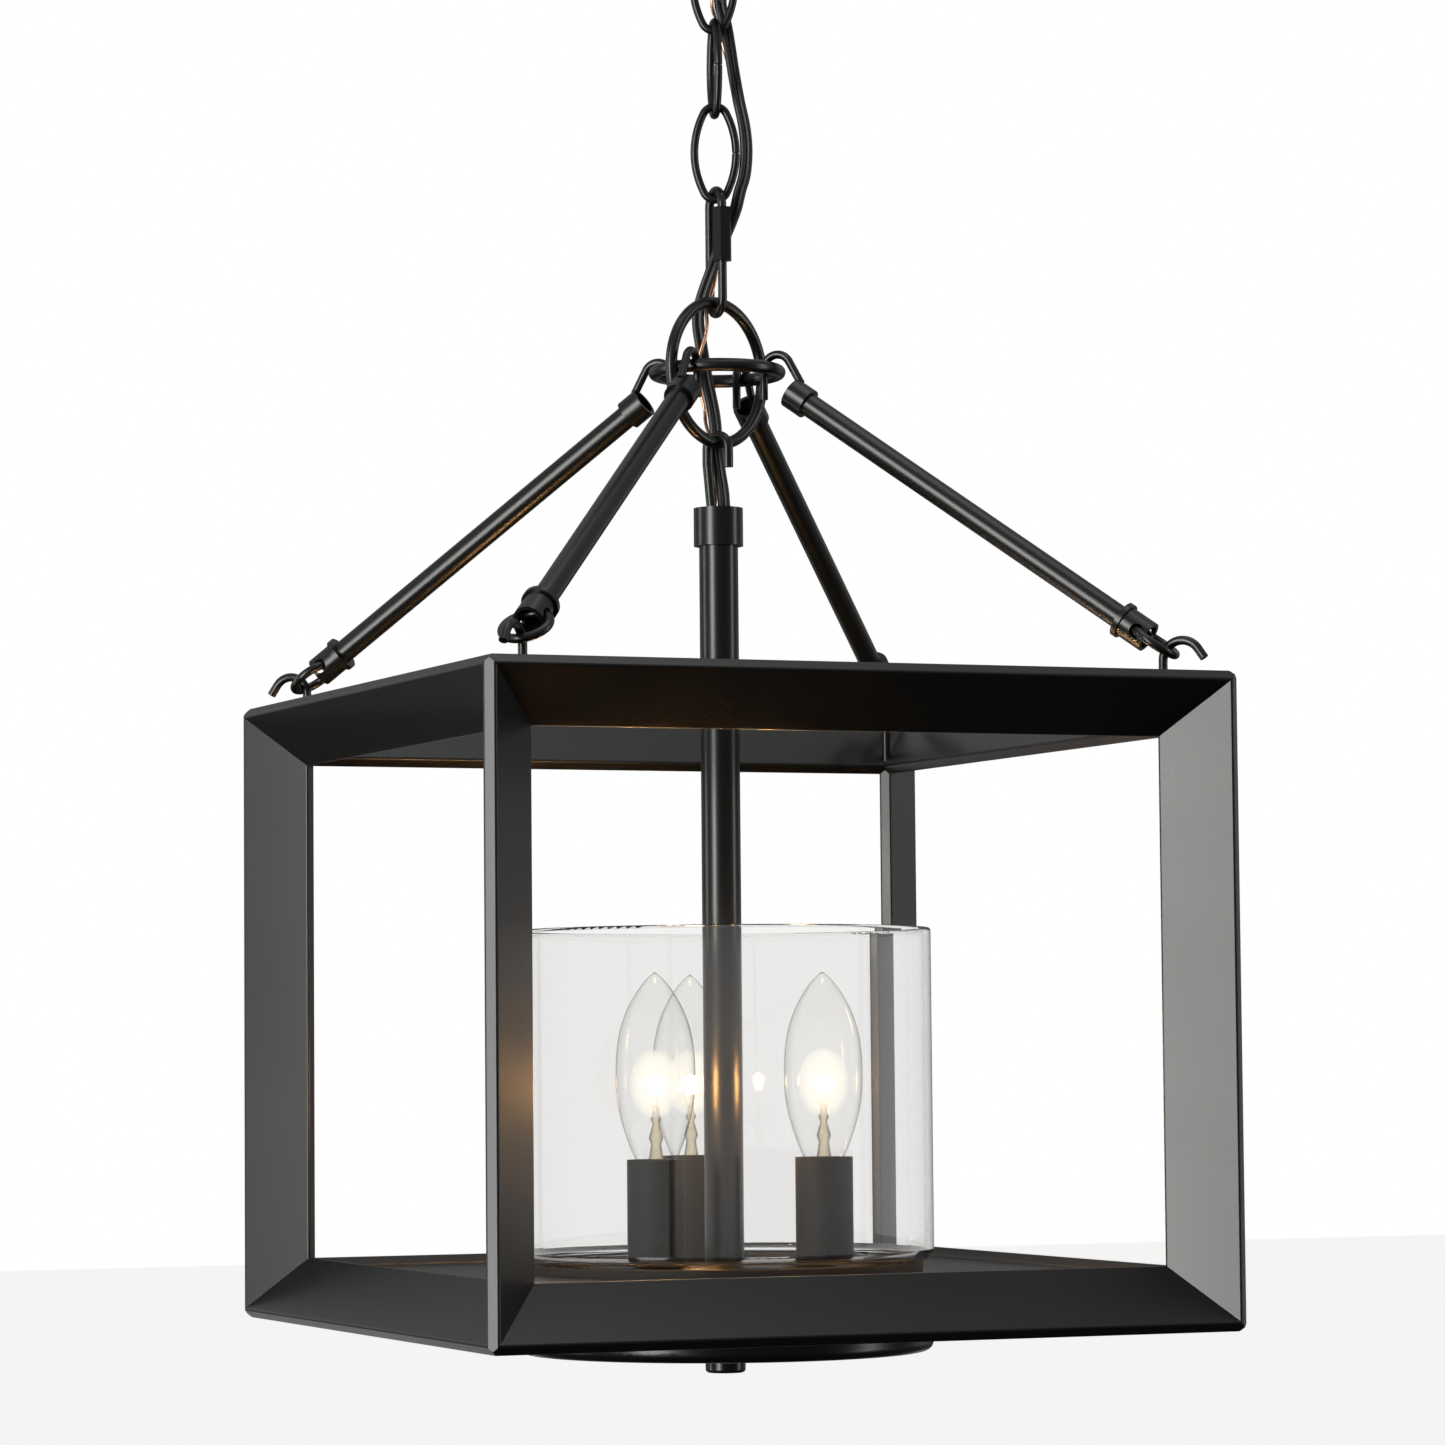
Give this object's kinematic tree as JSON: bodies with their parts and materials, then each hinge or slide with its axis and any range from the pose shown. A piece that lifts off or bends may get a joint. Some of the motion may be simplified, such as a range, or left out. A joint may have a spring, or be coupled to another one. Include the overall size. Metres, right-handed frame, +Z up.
{
  "type": "hanging lantern",
  "caption": "Open cube-frame hanging lantern with a clear glass cylinder, candle lamps, a centre stem, four hanging rods, chain, and a ceiling canopy.",
  "frame": {"origin": "centre of the fixing strap's screw pattern, on the ceiling plane", "axes": "+Z up to the ceiling, +X to the lantern's right and +Y to its back, square to the cage's sides"},
  "size_m": [0.3112, 0.3112, 0.6374],
  "materials": {
    "black_paint": "satin",
    "black_gloss": "gloss",
    "zinc_steel": "satin",
    "green_screw": "satin",
    "cord_sheath": "matte",
    "bare_copper": "satin",
    "rubber_pad": "matte",
    "clear_glass": "polished",
    "socket_body": "matte",
    "brass_cap": "satin",
    "bulb_glass": "polished",
    "filament": "lit, warm white"
  },
  "bodies": {
    "ceiling_bracket": {"crossbar": "zinc_steel", "ground_screw": "green_screw", "canopy_nipple": "zinc_steel", "nipple_nut": "zinc_steel", "canopy_loop": "black_paint", "lamp_cord": "cord_sheath", "ground_wire": "bare_copper"},
    "collar": {"loop_collar": "black_paint"},
    "canopy_cover": {"canopy": "black_paint"},
    "link_1": {"chain_link_1": "black_paint"},
    "link_2": {"chain_link_2": "black_paint"},
    "link_3": {"chain_link_3": "black_paint"},
    "quick_link_body": {"quick_link": "black_paint"},
    "quick_link_sleeve": {"quick_link_nut": "black_paint"},
    "lantern": {"hanging_ring": "black_paint", "spreader_ring": "black_paint", "rod_front_left": "black_paint", "rod_front_right": "black_paint", "rod_back_right": "black_paint", "rod_back_left": "black_paint", "rod_top_cups": "black_paint", "rod_foot_cups": "black_paint", "rod_foot_rings": "black_paint", "corner_hooks": "black_paint", "top_rail_front": "black_paint", "top_rail_right": "black_paint", "top_rail_back": "black_paint", "top_rail_left": "black_paint", "bottom_rail_front": "black_paint", "bottom_rail_right": "black_paint", "bottom_rail_back": "black_paint", "bottom_rail_left": "black_paint", "post_front_left": "black_paint", "post_front_right": "black_paint", "post_back_right": "black_paint", "post_back_left": "black_paint", "floor_plate": "black_gloss", "glass_gasket": "rubber_pad", "stem_hook": "black_paint", "stem_coupling": "black_paint", "stem_tube": "black_paint", "centre_nipple": "zinc_steel", "floor_nuts": "zinc_steel", "candle_cover_1": "black_paint", "candle_cover_2": "black_paint", "candle_cover_3": "black_paint", "lamp_sockets": "socket_body", "socket_posts": "zinc_steel"},
    "glass": {"glass_cylinder": "clear_glass"},
    "pan": {"base_pan": "black_paint"},
    "finial_knob": {"finial": "black_paint"},
    "bulb_1": {"bulb_base_1": "brass_cap", "bulb_glass_1": "bulb_glass", "bulb_filaments_1": "filament"},
    "bulb_2": {"bulb_base_2": "brass_cap", "bulb_glass_2": "bulb_glass", "bulb_filaments_2": "filament"},
    "bulb_3": {"bulb_base_3": "brass_cap", "bulb_glass_3": "bulb_glass", "bulb_filaments_3": "filament"}
  },
  "joints": [
    {"name": "collar_drop", "type": "slide", "parent": "ceiling_bracket", "child": "collar", "axis": [0, 0, 1], "range_m": [-0.012, 0]},
    {"name": "canopy_drop", "type": "slide", "parent": "ceiling_bracket", "child": "canopy_cover", "axis": [0, 0, 1], "range_m": [-0.012, 0]},
    {"name": "link_1_swing", "type": "hinge", "parent": "ceiling_bracket", "child": "link_1", "pos_m": [0, 0, -0.0562], "axis": [0.3746, 0.9272, 0], "range_deg": [-20, 20], "deforming": ["lamp_cord", "ground_wire"]},
    {"name": "link_2_swing", "type": "hinge", "parent": "link_1", "child": "link_2", "pos_m": [0, 0, -0.09065], "axis": [0.9272, -0.3746, 0], "range_deg": [-20, 20], "deforming": ["lamp_cord", "ground_wire"]},
    {"name": "link_3_swing", "type": "hinge", "parent": "link_2", "child": "link_3", "pos_m": [0, 0, -0.12565], "axis": [0.1908, 0.9816, 0], "range_deg": [-20, 20], "deforming": ["lamp_cord", "ground_wire"]},
    {"name": "quick_link_swing", "type": "hinge", "parent": "link_3", "child": "quick_link_body", "pos_m": [0, 0, -0.16065], "axis": [0.9272, -0.3746, 0], "range_deg": [-20, 20], "deforming": ["lamp_cord", "ground_wire"]},
    {"name": "lantern_swing", "type": "hinge", "parent": "quick_link_body", "child": "lantern", "pos_m": [0, 0, -0.20765], "axis": [0, 1, 0], "range_deg": [-15, 15], "deforming": ["lamp_cord", "ground_wire"]},
    {"name": "sleeve_travel", "type": "slide", "parent": "quick_link_body", "child": "quick_link_sleeve", "axis": [0, 0, 1], "range_m": [-0.012, 0]},
    {"name": "glass_lift", "type": "slide", "parent": "lantern", "child": "glass", "axis": [0, 0, 1], "range_m": [0, 0.06]},
    {"name": "bulb_1_lift", "type": "slide", "parent": "lantern", "child": "bulb_1", "axis": [0, 0, 1], "range_m": [0, 0.03]},
    {"name": "bulb_2_lift", "type": "slide", "parent": "lantern", "child": "bulb_2", "axis": [0, 0, 1], "range_m": [0, 0.03]},
    {"name": "bulb_3_lift", "type": "slide", "parent": "lantern", "child": "bulb_3", "axis": [0, 0, 1], "range_m": [0, 0.03]},
    {"name": "finial_drop", "type": "slide", "parent": "lantern", "child": "finial_knob", "axis": [0, 0, 1], "range_m": [-0.012, 0]},
    {"name": "pan_drop", "type": "slide", "parent": "lantern", "child": "pan", "axis": [0, 0, 1], "range_m": [-0.012, 0]}
  ],
  "couplings": [
    {"joint": "canopy_drop", "follows": "collar_drop", "ratio": 1},
    {"joint": "pan_drop", "follows": "finial_drop", "ratio": 1}
  ]
}
